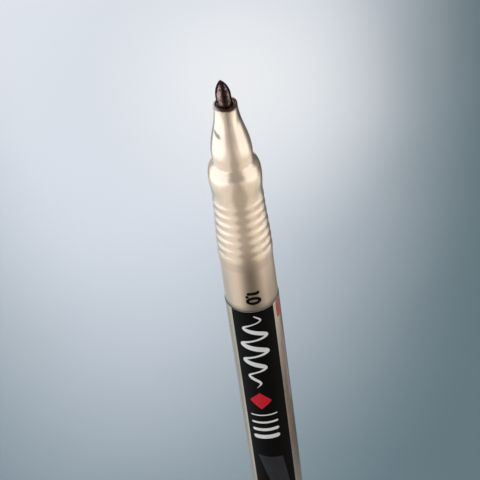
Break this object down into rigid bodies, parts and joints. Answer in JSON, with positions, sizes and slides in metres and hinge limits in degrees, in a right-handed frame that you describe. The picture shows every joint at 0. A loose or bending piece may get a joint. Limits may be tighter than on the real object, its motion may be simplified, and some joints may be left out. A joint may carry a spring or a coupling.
{
  "type": "permanent marker",
  "caption": "Slim permanent marker with a ribbed grip, bullet fibre nib, ink reservoir and clip cap posted on its tail.",
  "frame": {"origin": "centre of the flat closed end of the posted cap, on the pen's axis", "axes": "+Z along the pen's axis towards the nib, -Y towards the clip and the printed panel"},
  "size_m": [0.0112, 0.0132, 0.1667],
  "materials": {
    "champagne_plastic": "satin pearl moulding",
    "nib_fibre": "pressed fibre soaked with dark ink",
    "collar_plastic": "dark moulding stained with ink",
    "reservoir_fibre": "bundled fibre soaked with ink",
    "clear_film": "thin clear film",
    "black_plastic": "semi-gloss moulding",
    "liner_plastic": "soft natural moulding"
  },
  "bodies": {
    "pen": {"barrel": "champagne_plastic", "grip_section": "champagne_plastic", "nib": "nib_fibre", "nib_holder": "collar_plastic", "ink_reservoir": "reservoir_fibre", "reservoir_film": "clear_film", "tail_plug": "black_plastic"},
    "cap": {"cap_shell": "black_plastic", "cap_liner": "liner_plastic"}
  },
  "joints": [
    {"name": "cap_pull", "type": "slide", "parent": "cap", "child": "pen", "axis": [0, 0, 1], "range_m": [0, 0.03]}
  ]
}
